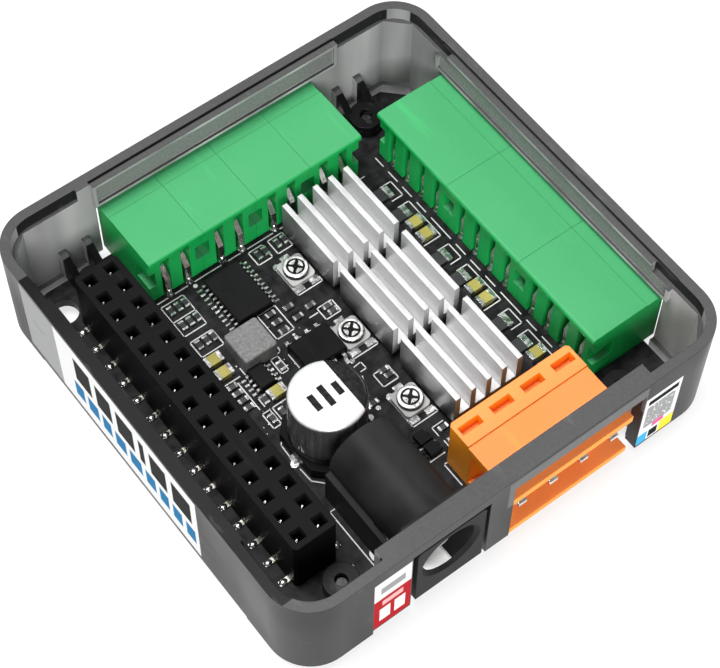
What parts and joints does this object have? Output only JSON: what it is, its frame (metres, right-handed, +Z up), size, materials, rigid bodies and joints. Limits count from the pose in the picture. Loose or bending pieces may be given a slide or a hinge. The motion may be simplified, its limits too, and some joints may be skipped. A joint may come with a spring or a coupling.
{
  "type": "stepper driver module",
  "caption": "Square stackable frame around a board with finned drivers, trimmers, pluggable signal headers, a bus socket, a power header and a barrel jack.",
  "frame": {"origin": "centre of the footprint, on the plane that the nesting lips stand on", "axes": "+Z up out of the open side, -Y towards the power header and jack, +Y towards the small headers, +X towards the large headers"},
  "size_m": [0.054, 0.054, 0.0145],
  "materials": {
    "frame_plastic": "smoked, slightly translucent moulding",
    "board": "black solder mask with white legend",
    "black_plastic": "fine matte moulding",
    "gold_contact": "thin gold plating",
    "green_plastic": "satin moulding",
    "tinned_pin": "tin plated",
    "orange_plastic": "satin moulding",
    "jack_plastic": "semi-gloss moulding",
    "nickel_contact": "nickel plated",
    "sink_aluminium": "extruded, natural anodised",
    "thermal_pad": "soft silicone pad",
    "chip_resin": "moulded resin",
    "solder_tin": "soldered tin",
    "trimmer_metal": "bright plated",
    "trimmer_ceramic": "ceramic base",
    "can_aluminium": "drawn can with a printed top",
    "ferrite": "grey resin-coated ferrite",
    "ceramic": "fired ceramic",
    "resistor_body": "glazed film",
    "screw_steel": "dark zinc",
    "label_film": "printed film"
  },
  "bodies": {
    "module": {"board_screws": "screw_steel", "bus_socket_contacts": "gold_contact", "bus_socket_housing": "black_plastic", "capacitor_base": "black_plastic", "capacitor_can": "can_aluminium", "capacitor_leads": "solder_tin", "ceramic_capacitors": "ceramic", "chip_end_caps": "solder_tin", "chip_resistors": "resistor_body", "controller_chip": "chip_resin", "controller_leads": "solder_tin", "dc_jack_centre_pin": "nickel_contact", "dc_jack_housing": "jack_plastic", "dc_jack_sleeve_spring": "nickel_contact", "dc_jack_switch_contact": "nickel_contact", "driver_chip_1": "chip_resin", "driver_chip_2": "chip_resin", "driver_chip_3": "chip_resin", "frame": "frame_plastic", "heatsink_1": "sink_aluminium", "heatsink_2": "sink_aluminium", "heatsink_3": "sink_aluminium", "inductor_body": "ferrite", "inductor_terminals": "solder_tin", "input_label": "label_film", "io_header_housing_1": "green_plastic", "io_header_housing_2": "green_plastic", "io_header_housing_3": "green_plastic", "io_header_housing_4": "green_plastic", "io_header_pins_1": "tinned_pin", "io_header_pins_2": "tinned_pin", "io_header_pins_3": "tinned_pin", "io_header_pins_4": "tinned_pin", "motor_header_housing_1": "green_plastic", "motor_header_housing_2": "green_plastic", "motor_header_housing_3": "green_plastic", "motor_header_pins_1": "tinned_pin", "motor_header_pins_2": "tinned_pin", "motor_header_pins_3": "tinned_pin", "pcb": "board", "power_header_housing": "orange_plastic", "power_header_pins": "tinned_pin", "regulator_chip": "chip_resin", "regulator_leads": "solder_tin", "sense_resistors": "resistor_body", "side_label": "label_film", "small_transistors": "chip_resin", "spec_label": "label_film", "thermal_pad_1": "thermal_pad", "thermal_pad_2": "thermal_pad", "thermal_pad_3": "thermal_pad", "transceiver_chip": "chip_resin", "transceiver_leads": "solder_tin", "trimmer_body_1": "trimmer_ceramic", "trimmer_body_2": "trimmer_ceramic", "trimmer_body_3": "trimmer_ceramic", "trimmer_terminals": "solder_tin"},
    "rotor_1": {"trimmer_rotor_1": "trimmer_metal"},
    "rotor_2": {"trimmer_rotor_2": "trimmer_metal"},
    "rotor_3": {"trimmer_rotor_3": "trimmer_metal"}
  },
  "joints": [
    {"name": "trimmer_1_turn", "type": "hinge", "parent": "module", "child": "rotor_1", "pos_m": [0.00005, 0.01044, 0.0033], "axis": [0, 0, 1], "range_deg": [-130, 130]},
    {"name": "trimmer_2_turn", "type": "hinge", "parent": "module", "child": "rotor_2", "pos_m": [0.00005, 0.00068, 0.0033], "axis": [0, 0, 1], "range_deg": [-130, 130]},
    {"name": "trimmer_3_turn", "type": "hinge", "parent": "module", "child": "rotor_3", "pos_m": [0.00005, -0.0094, 0.0033], "axis": [0, 0, 1], "range_deg": [-130, 130]}
  ]
}
